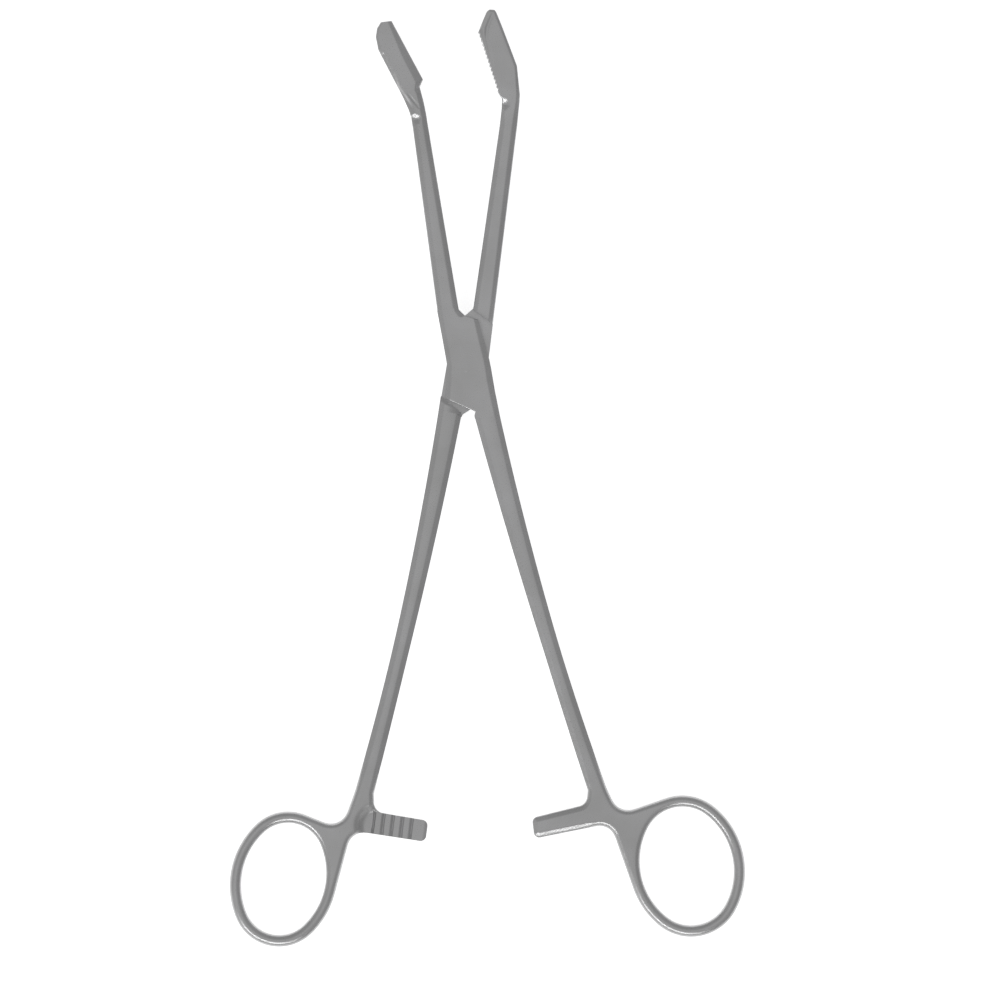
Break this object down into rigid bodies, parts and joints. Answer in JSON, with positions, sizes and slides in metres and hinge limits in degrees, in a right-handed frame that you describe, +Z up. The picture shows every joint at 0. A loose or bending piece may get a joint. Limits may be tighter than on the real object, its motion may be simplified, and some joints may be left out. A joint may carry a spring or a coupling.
{
  "type": "bulldog clamp applier",
  "caption": "Long ring-handled box-lock forceps with angled serrated jaws and ratchet bars, for placing small spring clamps.",
  "frame": {"origin": "where the pivot axis of the box lock meets the lock's flat underside", "axes": "+Z up along the pivot axis, out of the lock's front face; +Y along the instrument towards the jaws; +X to the right, on the side of the female finger ring"},
  "size_m": [0.1463, 0.2662, 0.007],
  "materials": {
    "satin_steel": "satin"
  },
  "bodies": {
    "box_side": {"box_half": "satin_steel", "lock_pin": "satin_steel"},
    "tongue_side": {"tongue_half": "satin_steel"}
  },
  "joints": [
    {"name": "box_lock", "type": "hinge", "parent": "box_side", "child": "tongue_side", "pos_m": [0, 0, 0.0035], "axis": [0, 0, 1], "range_deg": [-6, 13]}
  ]
}
